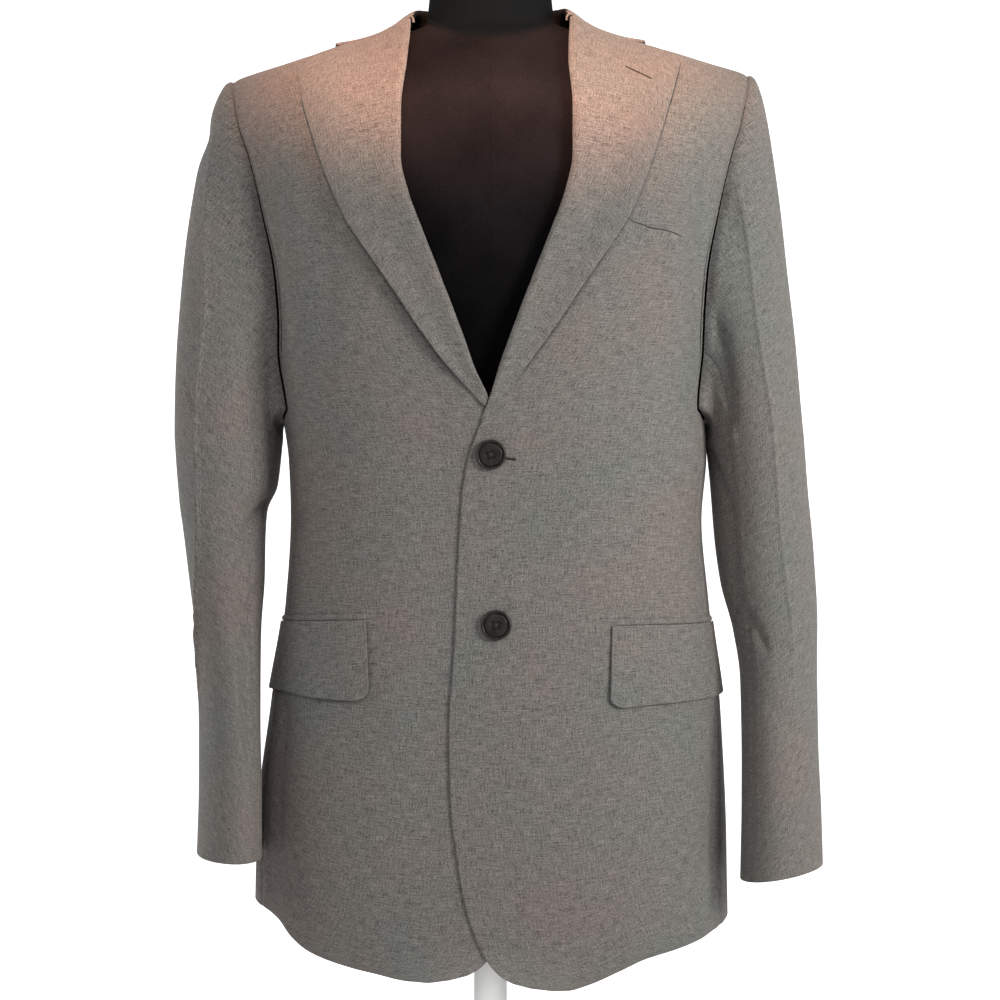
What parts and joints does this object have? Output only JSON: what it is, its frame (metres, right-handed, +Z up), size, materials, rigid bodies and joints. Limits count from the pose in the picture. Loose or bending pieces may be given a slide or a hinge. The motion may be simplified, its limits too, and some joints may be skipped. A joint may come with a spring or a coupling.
{
  "type": "single breasted blazer on a limbless dress form",
  "caption": "Single breasted blazer with notched lapels and flap pockets, worn by a limbless dress form on a pole and round base.",
  "frame": {"origin": "centre of the stand's underside, on the surface it stands on", "axes": "+Z up along the pole, the front of the blazer faces -Y, +X is the wearer's left"},
  "size_m": [0.5378, 0.33, 1.168],
  "materials": {
    "wool": "matte grey melange worsted wool",
    "horn": "dark brown horn-like, satin",
    "black_jersey": "matte black jersey",
    "white_enamel": "satin white enamel on steel"
  },
  "bodies": {
    "root": {"back_left": "wool", "back_right": "wool", "breast_welt": "wool", "collar": "wool", "flap_left": "wool", "flap_right": "wool", "front_left": "wool", "front_right": "wool", "jet_left": "wool", "jet_right": "wool", "lapel_left": "wool", "lapel_right": "wool", "side_left": "wool", "side_right": "wool", "sleeve_top_left": "wool", "sleeve_top_right": "wool", "sleeve_under_left": "wool", "sleeve_under_right": "wool", "button_lower": "horn", "button_upper": "horn", "form": "black_jersey", "base": "white_enamel", "pole": "white_enamel", "socket": "white_enamel"}
  },
  "joints": []
}
